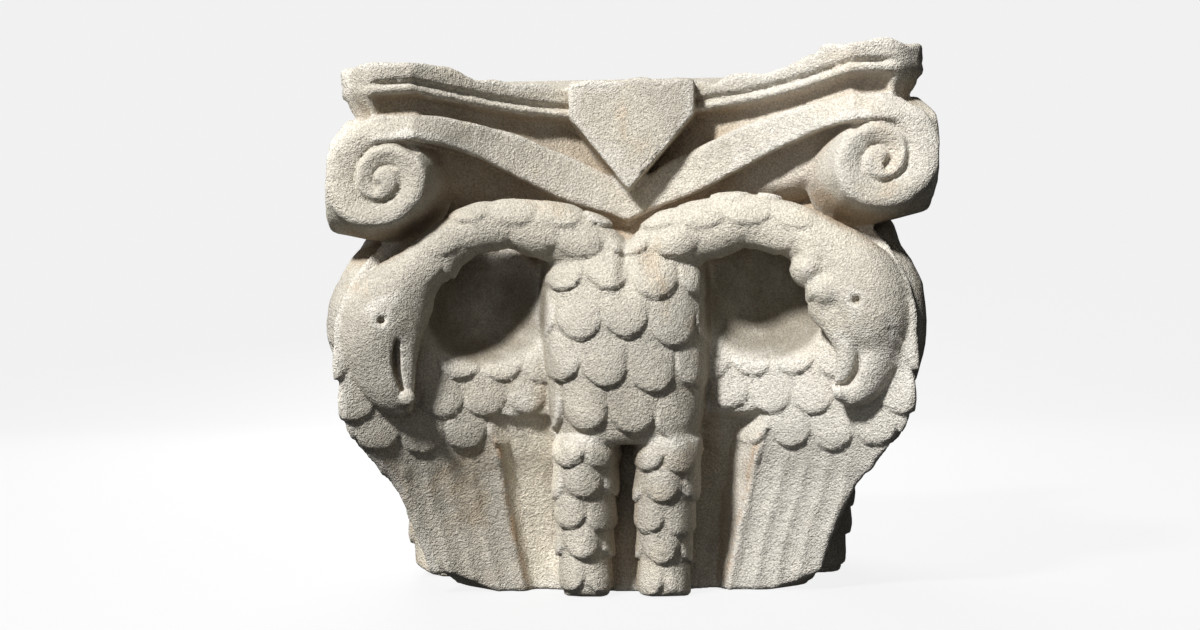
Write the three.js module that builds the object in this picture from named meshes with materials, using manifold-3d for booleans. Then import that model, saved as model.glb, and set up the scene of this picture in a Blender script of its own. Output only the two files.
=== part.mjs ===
// Figured capital of four faces. Each face has two birds: their necks rise from one scaled breast,
// arch out over the wings and bring their heads down on the corners. Above them are crossed stems
// that end in corner volutes, a pointed boss and a moulded abacus with hollow sides.
// Millimetres, +Z up. The origin is the middle of the underside and the front face looks along -Y.
// A face is drawn as across (to the right), up and out (towards the viewer).
import * as THREE from "three";
import { LoftGeometry } from "three/addons/geometries/LoftGeometry.js";
import { mergeVertices } from "three/addons/utils/BufferGeometryUtils.js";
import Module from "manifold-3d";

// Driving dimensions
const BED = 353; // underside to the flat top bed
const HALF = 192; // half width of the abacus over its ears
const EAR = 50; // straight front of each ear
const RECESS = 58; // how far a side of the abacus curves in at its middle
const SAG = 15; // how far the mouldings drop towards the middle of a side
const CORNER_CUT = 9; // how much is taken off the abacus at a corner
const LEAN = 7; // how far the birds sit to the left of the volutes
const CLIMB = 0.023; // how much the abacus rises to the right, per millimetre

const VOLUTE_ACROSS = 160; // volute centre from the middle of a face
const VOLUTE_UP = 279.5;
const VOLUTE_FACE = 197; // volute face from the axis
const GROOVE = { wide: 10, deep: 6.5 };

const BOSS = { half: 42, tip: 271, slope: 1.19, out: 153 };
const PANEL_DEPTH = 6; // bare panel behind the wing's face
const NICHE = { across: 93, up: 200, out: 170, half: [41, 42, 52], power: 2.4 }; // hollow behind a neck
const FLIGHT = { wide: 14, deep: 2.2 }; // one flight feather and the groove beside it
const THIGH = { across: 27, spread: 2, out: 135, slant: 8, radius: 14, swell: 7.5, deep: 1.3 };

// Scales: width across, distance between rows, height of the tip and its place in the first row
const BREAST_SCALE = { wide: 30.8, pitch: 30.9, relief: 5, tip: 232, rows: 5, middle: 2 };
const WING_SCALE = { wide: 27.3, pitch: 23.4, relief: 4.2, tip: 144.8, rows: 3, middle: 82 };
const THIGH_SCALE = { wide: 21.5, pitch: 20.6, relief: 3, tip: 104, rows: 6, middle: 0 };

// Neck and head of the left and right bird: across, up, out and radius along the middle line
const LEFT_BIRD = {
  neck: [
    [-10, 220, 146, 16], [-50, 245, 157, 19], [-72, 250, 161, 16.5], [-96, 248.6, 165, 16],
    [-126, 231.5, 170, 16.5], [-139, 218, 172, 19], [-150, 205, 174, 23], [-159, 190, 176, 25.5],
    [-162, 176, 177, 24.5], [-161, 161, 177, 21], [-155, 144, 177, 15.5], [-148, 132, 176, 9],
  ],
  jaw: [[-142, 194, 172, 15], [-142, 168, 178, 8], [-142, 140, 179, 4.5]],
  slit: [[-146.3, 174, 190, 2.2], [-147.6, 160, 188, 3], [-145, 142, 185, 2]],
  eye: [-155.5, 188],
  knob: [-141, 135.5, 184, 5.8],
};
const RIGHT_BIRD = {
  neck: [
    [10, 220, 146, 16], [57, 244, 158, 19.5], [87, 246.5, 163, 16], [110, 239, 166, 16.5],
    [134, 224, 170, 19], [147, 211, 172, 23], [155, 199, 174, 26], [161, 183, 176, 25.5],
    [164, 164, 177, 16.5], [159, 148, 178, 13], [150, 135, 178, 10], [139, 134, 178, 5.5],
  ],
  jaw: [[133, 188, 172, 12], [144, 162, 178, 7.5], [141, 142, 178, 4.5]],
  slit: [[140, 172, 195, 1.8], [150, 160, 191, 2.6], [148.5, 148, 188, 2.8], [140, 138.5, 184, 2]],
  eye: [148.5, 192],
  knob: [138.5, 134, 181, 5],
};

const MOST_TRIANGLES = 9250; // facets of the stone
const FRONT_CARE = 6; // how much more closely the front keeps its form than the hidden sides

const { abs, max, sin, cos, hypot, PI } = Math;
const { clamp, lerp, smoothstep } = THREE.MathUtils;
const face = (across, up, out) => new THREE.Vector3(across, -out, up);

// A smooth curve through [x, value] knots.
function curve(...knots) {
  const last = knots.length - 1;
  const slopeOf = (i, j) => (knots[j][1] - knots[i][1]) / (knots[j][0] - knots[i][0]);
  const slope = knots.map((_, i) => slopeOf(Math.max(i - 1, 0), Math.min(i + 1, last)));
  return (x) => {
    const at = clamp(x, knots[0][0], knots[last][0]);
    let i = 0;
    while (i < last - 1 && at > knots[i + 1][0]) i++;
    const span = knots[i + 1][0] - knots[i][0];
    const t = (at - knots[i][0]) / span;
    const s = 1 - t;
    const ends = (1 + 2 * t) * s * s * knots[i][1] + t * t * (3 - 2 * t) * knots[i + 1][1];
    return ends + t * s * span * (s * slope[i] - t * slope[i + 1]);
  };
}

// Outlines up a wing: half width at the corner, hollow of the side and the wing's inner border
const wingCorner = curve(
  [-20, 130], [0, 130], [20, 135], [60, 150], [78, 159], [97, 173], [112, 182], [150, 189], [200, 187],
  [224, 176], [240, 165], [262, 150],
);
const wingHollow = curve([-20, 17], [0, 17], [60, 33], [120, 51], [200, 52]);
const wingInner = curve([-20, 66], [0, 67], [60, 79], [112, 91], [126, 96]);
const breastHalf = curve([95, 46], [130, 53], [170, 57], [225, 57]);
const breastDepth = curve([95, 46], [120, 52], [170, 54], [215, 50], [245, 40]);
const stemTop = curve([0, 275], [20, 287], [47, 300], [75, 311], [100, 318], [130, 323], [158, 323.5]);
const stemFoot = curve([0, 251], [13, 257], [47, 269], [75, 283], [100, 295], [125, 303], [158, 306]);
const spiral = curve(
  [0, 44], [0.25, 37], [0.5, 29.5], [0.75, 28.5], [1, 25.5], [1.25, 18], [1.5, 14], [1.75, 12.7], [2, 10.5],
  [2.25, 6], [2.5, 3],
);
const wornRim = curve(
  [0, 345], [47, 345.5], [84, 346], [109, 349.5], [122, 355.5], [142, 357.5], [192, 357.5],
);

const wasm = await Module();
wasm.setup();

// A closed geometry as a solid that can be joined and cut.
function solid(geometry) {
  const bare = new THREE.BufferGeometry();
  bare.setAttribute("position", geometry.getAttribute("position"));
  bare.setIndex(geometry.getIndex());
  const merged = mergeVertices(bare, 1e-5);
  const p = merged.getAttribute("position");
  const corners = [...merged.getIndex().array];
  const triangles = [];
  let volume = 0;
  for (let i = 0; i < corners.length; i += 3) {
    const [a, b, c] = corners.slice(i, i + 3);
    if (a === b || b === c || c === a) continue;
    triangles.push([a, b, c]);
    const [va, vb, vc] = [a, b, c].map((n) => new THREE.Vector3().fromBufferAttribute(p, n));
    volume += va.dot(vb.cross(vc));
  }
  const outward = volume > 0 ? triangles : triangles.map(([a, b, c]) => [a, c, b]);
  const triVerts = new Uint32Array(outward.flat());
  return new wasm.Manifold(new wasm.Mesh({ numProp: 3, vertProperties: p.array, triVerts }));
}
const join = (bodies) => bodies.reduce((a, b) => a.add(b));

// A closed loft; its rings are turned to run anticlockwise as seen from its end.
function loft(sections) {
  const [first, next] = sections;
  const normal = new THREE.Vector3();
  const onward = new THREE.Vector3();
  first.forEach((p, i) => {
    normal.add(new THREE.Vector3().crossVectors(p, first[(i + 1) % first.length]));
    onward.add(next[i]).sub(p);
  });
  const rings = normal.dot(onward) > 0 ? sections : sections.map((ring) => [...ring].reverse());
  return solid(new LoftGeometry(rings, { capStart: true, capEnd: true }));
}

// A tapering tube along [across, up, out, radius] knots, in so many steps, squeezed in depth.
function tube(knots, steps, sides, squeeze = 1) {
  const line = new THREE.CatmullRomCurve3(knots.map(([a, b, c]) => face(a, b, c)));
  const sections = [];
  for (let i = 0; i <= steps; i++) {
    const t = i / steps;
    const k = Math.min(Math.floor(t * (knots.length - 1)), knots.length - 2);
    const radius = lerp(knots[k][3], knots[k + 1][3], t * (knots.length - 1) - k);
    const along = line.getTangent(t);
    const beside = new THREE.Vector3().crossVectors(along, face(0, 0, 1)).normalize();
    const out = new THREE.Vector3().crossVectors(beside, along);
    const ring = [];
    for (let j = 0; j < sides; j++) {
      const angle = (2 * PI * (j + 0.5)) / sides;
      const point = line.getPoint(t).addScaledVector(beside, radius * cos(angle));
      ring.push(point.addScaledVector(out, radius * squeeze * sin(angle)));
    }
    sections.push(ring);
  }
  return loft(sections);
}

// Plan of the abacus side: how far it reaches out, and how far its mouldings have dropped.
function side(across) {
  const t = clamp(abs(across) / (HALF - EAR), 0, 1);
  return { reach: HALF - RECESS * (1 - t * t), drop: SAG * (1 - t * t) };
}

// A ring round all four sides from one side's points, given as [across, up, out].
function around(points) {
  const upward = new THREE.Vector3(0, 0, 1);
  return [0, 1, 2, 3].flatMap((turn) =>
    points.map(([across, up, out]) => face(across, up, out).applyAxisAngle(upward, (turn * PI) / 2)),
  );
}

const bell = solid(
  new THREE.LatheGeometry(
    [[0, -10], [124, -10], [119, 60], [121, 150], [125, 225], [116, 262], [106, 300], [0, 300]].map(
      ([radius, up]) => new THREE.Vector2(radius, up),
    ),
    32,
  ).rotateX(PI / 2),
);

// Core and mouldings of the abacus: a fascia over a roll, inset from the plan at each height, measured
// at an ear. Below the roll the corners are left standing as stumps between the recessed sides.
function abacus() {
  const levels = [
    [252, 46], [266, 30], [284, 23], [310, 23], [324, 21], [331, 17], [335.5, 12], [337, 3], [340, 0.5],
    [342.5, 2.5], [343.5, 5], [345.5, 3], [347, 0], [357.5, 0],
  ];
  const stations = [-1, -0.75, -0.5, -0.25, 0, 0.25, 0.5, 0.75, 1].map((t) => t * (HALF - EAR));
  const sections = levels.map(([up, inset], i) => {
    const stump = 0.8 * smoothstep(up, 300, 318);
    const end = HALF - inset * (1 - stump);
    const corner = Math.min(2 * (HALF - CORNER_CUT - 0.4 * inset) - end, end - 3);
    const shoulder = Math.min(HALF - 2 * CORNER_CUT - 8, HALF - inset - 6);
    const ring = [-shoulder, ...stations, shoulder].map((across) => {
      const { reach, drop } = side(across);
      const top = i === levels.length - 1;
      return [across, top ? wornRim(abs(across)) : up - drop * smoothstep(up, 252, 320), reach - inset];
    });
    const height = i === levels.length - 1 ? wornRim(HALF) : up;
    return around([[-corner, height, end], ...ring, [corner, height, end]]);
  });
  const across = [-HALF + 10, -HALF + 20, ...stations, HALF - 20, HALF - 10];
  const lid = around(across.map((at) => [at * 0.53, BED + 0.4, 0.53 * HALF]));
  return loft([...sections, lid]);
}

// The wings: a block with hollow sides, without what is cut away beside the thighs.
const wingOut = (across, up) => wingCorner(up) - wingHollow(up) * (1 - (across / wingCorner(up)) ** 2);
function wingBlock() {
  const levels = [-10, 0, 20, 40, 60, 78, 97, 112, 130, 150, 175, 200, 224, 240, 262];
  const sections = levels.map((up) => {
    const stations = [-0.98, -0.75, -0.5, -0.25, 0, 0.25, 0.5, 0.75, 0.98].map((t) => t * wingCorner(up));
    return around(stations.map((across) => [across, up, wingOut(across, up)]));
  });
  return loft(sections);
}

// The niche behind a neck: a ball stretched to its sizes and made squarer.
function niche(hand) {
  const ball = new THREE.SphereGeometry(1, 16, 12);
  const places = ball.getAttribute("position");
  const squarer = (value, half) => half * Math.sign(value) * abs(value) ** (2 / NICHE.power);
  for (let i = 0; i < places.count; i++) {
    const spot = [places.getX(i), places.getY(i), places.getZ(i)];
    const [a, b, c] = spot.map((value, n) => squarer(value, NICHE.half[n]));
    places.setXYZ(i, ...face(hand * NICHE.across + a, NICHE.up + b, NICHE.out + c));
  }
  return solid(ball);
}

function panelCut(hand) {
  const sections = [-20, 20, 60, 100, 121].map((up) => {
    const [low, high] = [20, wingInner(up)];
    const back = wingOut(high, up) - PANEL_DEPTH;
    const ring = [[low, back - 6], [high, back], [high + 4, back + 60], [low, back + 60]];
    return ring.map(([across, out]) => face(hand * across, up, out));
  });
  return loft(sections);
}

// The raised border of a wing and the grooves between its flight feathers.
function wingLine(hand, offset, from, to, wide, high) {
  const steps = 4;
  const sections = [];
  for (let i = 0; i <= steps; i++) {
    const up = lerp(from, to, i / steps);
    const across = wingInner(up) + offset;
    const ring = [[-wide / 2, high], [wide / 2, high], [0, -high]];
    sections.push(ring.map(([a, b]) => face(hand * (across + a), up, wingOut(across + a, up) + b)));
  }
  return loft(sections);
}

// A breast is a rounded box in plan.
function breastOut(across, up) {
  const t = clamp(abs(across) / breastHalf(up), 0, 0.999);
  return 122 + breastDepth(up) * (1 - t ** 2.7) ** (1 / 2.7);
}
function breast() {
  const sections = [98, 104, 122, 145, 170, 200, 228, 243, 250].map((up, i, all) => {
    const end = [0.72, 0.9][i] ?? [0.6, 0.86][all.length - 1 - i] ?? 1;
    const squared = (value) => end * Math.sign(value) * abs(value) ** (2 / 2.7);
    return Array.from({ length: 18 }, (_, j) => {
      const angle = (2 * PI * (j + 0.5)) / 18;
      const across = breastHalf(up) * squared(cos(angle));
      return face(across, up, 122 + breastDepth(up) * squared(sin(angle)));
    });
  });
  return loft(sections);
}

function thighAt(up, angle) {
  const t = clamp((up - 4) / 106, 0, 1);
  const radius = THIGH.radius + THIGH.swell * t;
  const across = THIGH.across + THIGH.spread * t + radius * sin(angle);
  return [across, THIGH.out + THIGH.slant * t + THIGH.deep * radius * cos(angle)];
}
function thigh(hand, sides) {
  const sections = [-10, 4, 60, 116].map((up) => {
    const ring = Array.from({ length: sides }, (_, i) => thighAt(up, (2 * PI * (i + 0.5)) / sides));
    return ring.map(([across, out]) => face(hand * across, up, out));
  });
  return loft(sections);
}

// One scale: a thin disc on the surface at(s, up), its tip lifted and its root sunk.
function scale(at, s, tip, { wide, relief }, sides) {
  const radius = wide * 0.54;
  const middle = at(s, tip + radius * 0.9);
  const beside = at(s + 1, tip + radius * 0.9).sub(at(s - 1, tip + radius * 0.9)).normalize();
  const above = at(s, tip + radius * 1.2).sub(at(s, tip + radius * 0.6)).normalize();
  const normal = new THREE.Vector3().crossVectors(beside, above).normalize();
  const disc = new THREE.CylinderGeometry(radius * 0.8, radius, relief + 5, sides);
  disc.translate(0, (relief - 5) / 2 - relief * 0.35, 0);
  disc.rotateX(-Math.asin((relief * 0.75) / radius));
  const downward = above.cross(beside).cross(beside).negate();
  disc.applyMatrix4(new THREE.Matrix4().makeBasis(beside, normal, downward));
  return solid(disc.translate(...middle));
}

// Rows of scales down a surface, where keep says that the surface has them.
function scales(at, spec, sides, keep) {
  const found = [];
  for (let row = 0; row < spec.rows; row++)
    for (let n = -4; n <= 6; n++) {
      const s = spec.middle + (n + (row % 2) / 2) * spec.wide;
      const tip = spec.tip - row * spec.pitch;
      if (keep(s, tip, row)) found.push(scale(at, s, tip, spec, sides));
    }
  return found;
}

function boss() {
  const { half, tip, slope, out } = BOSS;
  const outline = new THREE.Shape();
  outline.moveTo(0, tip);
  outline.lineTo(half, tip + slope * half);
  outline.lineTo(half, 345);
  outline.lineTo(-half, 345);
  outline.lineTo(-half, tip + slope * half);
  const block = new THREE.ExtrudeGeometry(outline, { depth: out - 90, bevelEnabled: false });
  return solid(block.rotateX(PI / 2).translate(0, -90, 0));
}

// A stem, and the slope that goes back from its upper edge to the foot of the roll.
function stem(hand) {
  const sections = [-12, 0, 20, 47, 75, 100, 130, 150, VOLUTE_ACROSS + 5].map((across) => {
    const [top, foot] = [stemTop(across), stemFoot(across)].map((up) => up + Math.min(across, 0));
    const front = side(across).reach + 7 * smoothstep(across, 100, 150);
    const back = front - 60;
    const roll = 337 - side(across).drop;
    const ring = [
      [foot, back], [foot + 1, front - 2], [(top + foot) / 2, front], [top - 1, front - 2],
      [top + 1, front - 10], [roll, front - 16], [roll, back],
    ];
    return ring.map(([up, out]) => face(hand * across, up, out));
  });
  return loft(sections);
}

const volutePoint = (turn, radius) => [
  VOLUTE_ACROSS + radius * sin(2 * PI * turn),
  VOLUTE_UP + radius * cos(2 * PI * turn),
];
function volute(hand, steps) {
  const sections = [[0, -3], [3, 0], [25, 0], [60, 0]].map(([back, grow]) =>
    Array.from({ length: steps }, (_, i) => {
      const turn = i / steps;
      const spread = 0.25 * back * smoothstep(turn, 0.1, 0.4);
      const [across, up] = volutePoint(turn, spiral(turn) + grow + spread);
      const out = VOLUTE_FACE - back;
      const over = max(across - out, 0); // past its own half of the corner
      return face(hand * (across - 0.92 * over), up, out);
    }),
  );
  const groove = [];
  for (let turn = 0.9; turn < 2.42; turn += 1.5 / steps) {
    const half = (GROOVE.wide / 2) * (1 - 0.35 * smoothstep(turn, 1.5, 2.4));
    const ring = [[-half, 2], [half, 2], [0, -GROOVE.deep]];
    groove.push(
      ring.map(([off, out]) => {
        const [across, up] = volutePoint(turn, spiral(turn) + off);
        return face(hand * across, up, VOLUTE_FACE + out);
      }),
    );
  }
  return { scroll: loft(sections), groove: loft(groove) };
}

function bird({ neck, jaw, slit, eye, knob }, steps, sides) {
  const [a, b, c, r] = knob;
  const bead = new THREE.SphereGeometry(r, sides, 5).translate(...face(a, b, c));
  const hole = new THREE.CylinderGeometry(3.2, 3.2, 20, 6).translate(...face(eye[0], eye[1], 196));
  const head = join([tube(neck, steps, sides, 0.84), tube(jaw, 3, 6), solid(bead)]);
  return head.subtract(tube(slit, 4, 5, 4)).subtract(solid(hole));
}

// One face; fine is 1 for the front and less for the sides that show little.
function carvedFace(fine) {
  const many = (count) => Math.round(count * fine);
  const added = [breast(), boss()];
  const taken = [];
  const scaleSides = fine < 1 ? 6 : 10;
  const onBreast = (s, up) => face(s, up, breastOut(s, up));
  const onFront = (s, tip, row) => abs(s) < 48 && (row > 0 || abs(s) > 20);
  added.push(...scales(onBreast, BREAST_SCALE, scaleSides, onFront));
  for (const hand of [-1, 1]) {
    const onThigh = (s, up) => {
      const [across, out] = thighAt(up, s / (THIGH.radius + THIGH.swell));
      return face(hand * THIGH.across + (across - THIGH.across), up, out);
    };
    added.push(thigh(hand, many(12)));
    added.push(...scales(onThigh, THIGH_SCALE, scaleSides, (s, tip) => abs(s) < 22 && tip > -2));
    const onWing = (s, up) => face(s, up, wingOut(s, up));
    const own = { ...WING_SCALE, middle: hand * WING_SCALE.middle };
    const covered = (s, tip, row) => {
      const across = s * hand;
      return across > (row ? 80 : 60) && across < 0.93 * wingCorner(tip) && !(row === 0 && across > 125);
    };
    added.push(...scales(onWing, own, scaleSides, covered));
    added.push(wingLine(hand, 3.5, 112, -6, 5, 2.6));
    for (let n = 1; n < (fine < 1 ? 3 : 5); n++)
      taken.push(wingLine(hand, n * FLIGHT.wide, 84, -12, 5, -FLIGHT.deep));
    added.push(stem(hand));
    const { scroll, groove } = volute(hand, many(24));
    added.push(scroll);
    taken.push(groove);
  }
  added.push(bird(LEFT_BIRD, many(22), many(12)), bird(RIGHT_BIRD, many(22), many(12)));
  return { added, taken };
}

const quarter = (bodies, turn) => bodies.map((body) => body.rotate([0, 0, 90 * turn]));
let plate = wingBlock();
for (let turn = 0; turn < 4; turn++) {
  const hollows = [panelCut(-1), panelCut(1), niche(-1), niche(1)];
  plate = quarter(hollows, turn).reduce((a, b) => a.subtract(b), plate);
}
let body = join([bell, abacus(), plate]);
const faces = [0, 1, 2, 3].map((turn) => carvedFace(turn ? 0.62 : 1));
faces.forEach(({ added }, turn) => (body = join([body, ...quarter(added, turn)])));
faces.forEach(({ taken }, turn) => (body = quarter(taken, turn).reduce((a, b) => a.subtract(b), body)));

// The plane of a triangle, as a normal as long as twice its area.
function normalOf(a, b, c) {
  const [x, y, z] = [b[0] - a[0], b[1] - a[1], b[2] - a[2]];
  const [p, q, r] = [c[0] - a[0], c[1] - a[1], c[2] - a[2]];
  return [y * r - z * q, z * p - x * r, x * q - y * p];
}

// Facets: edges are drawn together, flattest first, until the stone has no more than so many triangles.
function facets(points, triangles, most) {
  const around = points.map(() => new Set());
  triangles.forEach((t, i) => t.forEach((p) => around[p].add(i)));
  const alive = new Uint8Array(triangles.length).fill(1);
  const stamp = new Uint32Array(points.length);
  const care = (p) => (p[1] < -100 ? FRONT_CARE : 1);
  // sum of squared distances to the planes round a point, as the ten terms of a symmetric form
  const forms = points.map(() => new Float64Array(10));
  for (const t of triangles) {
    const [a, b, c] = t.map((n) => points[n]);
    const n = normalOf(a, b, c);
    const size = hypot(...n);
    if (size < 1e-9) continue;
    const [x, y, z] = n.map((k) => k / size);
    const off = -(x * a[0] + y * a[1] + z * a[2]);
    const much = size * care(a);
    const terms = [x * x, x * y, x * z, x * off, y * y, y * z, y * off, z * z, z * off, off * off];
    for (const p of t) terms.forEach((k, i) => (forms[p][i] += k * much));
  }
  const errorAt = (f, [x, y, z]) =>
    f[0] * x * x + 2 * f[1] * x * y + 2 * f[2] * x * z + 2 * f[3] * x + f[4] * y * y + 2 * f[5] * y * z +
    2 * f[6] * y + f[7] * z * z + 2 * f[8] * z + f[9];
  function plan(a, b) {
    const f = forms[a].map((k, i) => k + forms[b][i]);
    const [p, q] = [points[a], points[b]];
    const middle = [0, 1, 2].map((k) => (p[k] + q[k]) / 2);
    const hold = 0.002 * (f[0] + f[4] + f[7]);
    const [m0, m1, m2, m4, m5, m7] = [f[0] + hold, f[1], f[2], f[4] + hold, f[5], f[7] + hold];
    const right = [-f[3] + hold * middle[0], -f[6] + hold * middle[1], -f[8] + hold * middle[2]];
    const det = m0 * (m4 * m7 - m5 * m5) - m1 * (m1 * m7 - m5 * m2) + m2 * (m1 * m5 - m4 * m2);
    let spot = middle;
    if (abs(det) > 1e-12) {
      const [r0, r1, r2] = right;
      const x = r0 * (m4 * m7 - m5 * m5) - m1 * (r1 * m7 - m5 * r2) + m2 * (r1 * m5 - m4 * r2);
      const y = m0 * (r1 * m7 - m5 * r2) - r0 * (m1 * m7 - m5 * m2) + m2 * (m1 * r2 - r1 * m2);
      const z = m0 * (m4 * r2 - r1 * m5) - m1 * (m1 * r2 - r1 * m2) + r0 * (m1 * m5 - m4 * m2);
      const best = [x / det, y / det, z / det];
      const length = hypot(p[0] - q[0], p[1] - q[1], p[2] - q[2]);
      if (hypot(...best.map((k, i) => k - middle[i])) < 2 * length) spot = best;
    }
    const length2 = (p[0] - q[0]) ** 2 + (p[1] - q[1]) ** 2 + (p[2] - q[2]) ** 2;
    const cost = errorAt(f, spot) + 1e-4 * length2 * (f[0] + f[4] + f[7]);
    return { a, b, spot, cost, from: stamp[a], to: stamp[b] };
  }
  // a heap with the cheapest edge on top
  const heap = [];
  function put(item) {
    let i = heap.push(item) - 1;
    while (i && heap[(i - 1) >> 1].cost > item.cost) {
      heap[i] = heap[(i - 1) >> 1];
      i = (i - 1) >> 1;
    }
    heap[i] = item;
  }
  function take() {
    const top = heap[0];
    const item = heap.pop();
    if (!heap.length) return top;
    let i = 0;
    for (;;) {
      let child = 2 * i + 1;
      if (child >= heap.length) break;
      if (child + 1 < heap.length && heap[child + 1].cost < heap[child].cost) child++;
      if (heap[child].cost >= item.cost) break;
      heap[i] = heap[child];
      i = child;
    }
    heap[i] = item;
    return top;
  }
  const neighbours = (p) => {
    const found = new Set();
    for (const t of around[p]) for (const q of triangles[t]) if (q !== p) found.add(q);
    return found;
  };
  // whether the triangles round p, but not those with q, keep their side and shape when p moves
  function keeps(p, q, spot) {
    for (const t of around[p]) {
      const tri = triangles[t];
      if (tri.includes(q)) continue;
      const was = tri.map((n) => points[n]);
      const will = tri.map((n) => (n === p ? spot : points[n]));
      const [n0, n1] = [normalOf(...was), normalOf(...will)];
      const [l0, l1] = [hypot(...n0), hypot(...n1)];
      if (n0[0] * n1[0] + n0[1] * n1[1] + n0[2] * n1[2] < 0.3 * l0 * l1) return false;
      const longest = max(...[0, 1, 2].map((k) => hypot(...will[k].map((c, i) => c - will[(k + 1) % 3][i]))));
      if (l1 < 0.08 * longest * longest && l1 < l0) return false;
    }
    return true;
  }
  triangles.forEach((t) =>
    [0, 1, 2].forEach((k) => {
      const [a, b] = [t[k], t[(k + 1) % 3]];
      if (a < b) put(plan(a, b));
    }),
  );
  let left = triangles.length;
  while (left > most && heap.length) {
    const { a, b, spot, from, to } = take();
    if (stamp[a] !== from || stamp[b] !== to) continue;
    const [na, nb] = [neighbours(a), neighbours(b)];
    if (!na.has(b)) continue;
    const shared = [...na].filter((p) => nb.has(p));
    if (shared.length !== 2) continue;
    if (!keeps(a, b, spot) || !keeps(b, a, spot)) continue;
    points[a] = spot;
    forms[b].forEach((k, i) => (forms[a][i] += k));
    for (const t of around[b]) {
      const tri = triangles[t];
      if (tri.includes(a)) {
        alive[t] = 0;
        left--;
        for (const p of tri) if (p !== b) around[p].delete(t);
      } else {
        tri[tri.indexOf(b)] = a;
        around[a].add(t);
      }
    }
    around[b].clear();
    stamp[a]++;
    stamp[b]++;
    for (const p of neighbours(a)) put(plan(a, p));
  }
  return triangles.filter((_, i) => alive[i]);
}

// A solid as a geometry, and the unevenness of work cut by hand: the birds stand a little
// to the left and the abacus climbs a little to the right.
function geometryOf(made) {
  const mesh = made.getMesh();
  const geometry = new THREE.BufferGeometry();
  geometry.setAttribute("position", new THREE.BufferAttribute(mesh.vertProperties, 3));
  geometry.setIndex(new THREE.BufferAttribute(mesh.triVerts, 1));
  return geometry;
}
function settled([x, y, z]) {
  const foot = 14 * smoothstep(hypot(x, y), 148, 186) * (1 - smoothstep(z, 0, 60));
  const lean = LEAN * (1 - smoothstep(z, 150, 330));
  const bed = z > BED && max(abs(x), abs(y)) < 110;
  return [x - lean, y, z + foot + (bed ? 0 : CLIMB * x * smoothstep(z, 100, 300))];
}
const triple = (list, i) => [...list.slice(3 * i, 3 * i + 3)];
const triples = (list) => Array.from({ length: list.length / 3 }, (_, i) => triple(list, i));
const crisp = geometryOf(body);
const points = triples(crisp.getAttribute("position").array).map(settled);
const kept = facets(points, triples(crisp.getIndex().array), MOST_TRIANGLES);
const uneven = new THREE.BufferGeometry();
uneven.setAttribute("position", new THREE.Float32BufferAttribute(points.flat(), 3));
uneven.setIndex(kept.flat());

function slab(x0, x1, z0, z1) {
  return solid(new THREE.BoxGeometry(x1 - x0, 600, z1 - z0).translate((x0 + x1) / 2, 0, (z0 + z1) / 2));
}
// The two beds are cut flat; the worn ears on the right stand a little above the top bed.
const cut = solid(uneven).subtract(slab(-300, 300, -60, 0)).subtract(slab(-300, 112, BED, BED + 60));
const geometry = geometryOf(cut);
geometry.computeVertexNormals();

const marble = new THREE.MeshStandardMaterial({ color: 0xc8c0b4, roughness: 0.85, metalness: 0 });
const mesh = new THREE.Mesh(geometry, marble);
mesh.name = "capital";

const capital = new THREE.Group();
capital.name = "figured_capital";
capital.add(mesh);

export default capital;
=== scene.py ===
import math

import bpy
import numpy as np
from mathutils import Matrix, Vector


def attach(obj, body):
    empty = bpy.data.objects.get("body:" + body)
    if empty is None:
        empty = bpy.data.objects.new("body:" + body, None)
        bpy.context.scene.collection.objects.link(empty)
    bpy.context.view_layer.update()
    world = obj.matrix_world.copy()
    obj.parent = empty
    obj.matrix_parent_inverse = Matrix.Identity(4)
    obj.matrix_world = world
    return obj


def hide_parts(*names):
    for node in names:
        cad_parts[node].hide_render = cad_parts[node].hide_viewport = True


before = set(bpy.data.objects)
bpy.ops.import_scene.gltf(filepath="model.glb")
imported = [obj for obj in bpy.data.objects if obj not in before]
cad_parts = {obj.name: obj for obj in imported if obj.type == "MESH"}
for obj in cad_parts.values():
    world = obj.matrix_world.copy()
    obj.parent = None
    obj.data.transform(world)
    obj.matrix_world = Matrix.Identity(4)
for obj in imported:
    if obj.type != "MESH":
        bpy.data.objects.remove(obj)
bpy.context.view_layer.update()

# The stone is worked out as distances in millimetres, negative inside it.
# A face is measured across from its middle (to the right), up, and out from the axis (towards the viewer).
# Where both halves of a face are alike, u is the distance from its middle, v is up and w is out.

# Driving dimensions in millimetres
BED = 353  # underside to the flat top bed
HALF = 192  # half width of the abacus over its ears
EAR = 50  # straight front of each ear
RECESS = 58  # how far a side of the abacus curves in at its middle
SAG = 15  # how far the mouldings drop towards the middle of a side
CORNER_CUT = 9  # how much is taken off the abacus at a corner
FASCIA_RISE = 5.5  # top of an ear above the level of the moulding's profile
LEAN = 7  # how far the birds sit to the left of the volutes
CLIMB = 0.023  # how much the abacus rises to the right, per millimetre
RAISED_EAR = 112  # right of here the ears stand up above the bed

ROLL_FOOT = 336.5  # underside of the roll at an ear
ABACUS_FOOT = 300

VOLUTE_ACROSS = 160
VOLUTE_UP = 279.5
VOLUTE_FACE = 197
VOLUTE_BACK = 140
GROOVE_DEPTH = 5
GROOVE_HALF = 3.6
GROOVE_TURNS = (0.86, 2.45)  # where the spiral groove starts and ends, in turns from the top
CHANNEL = 10  # width of the slope from a turn's rim down to the groove inside it
CHANNEL_DEPTH = 3
STEM_SLOPE_BACK = (13, 4)  # depth of the slope at a stem's upper edge, and what it gains up to the roll

BOSS_HALF = 42
BOSS_TIP = 271
BOSS_SLOPE = 1.19
BOSS_OUT = 153

WING_TOP = 262
PANEL_TOP = 122
PANEL_DEPTH = 5
RIGHT_PANEL_DEPTH = 17
FLIGHT_WIDTH = 14
FLIGHT_RELIEF = 1.2
BORDER_RELIEF = 2.6

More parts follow.
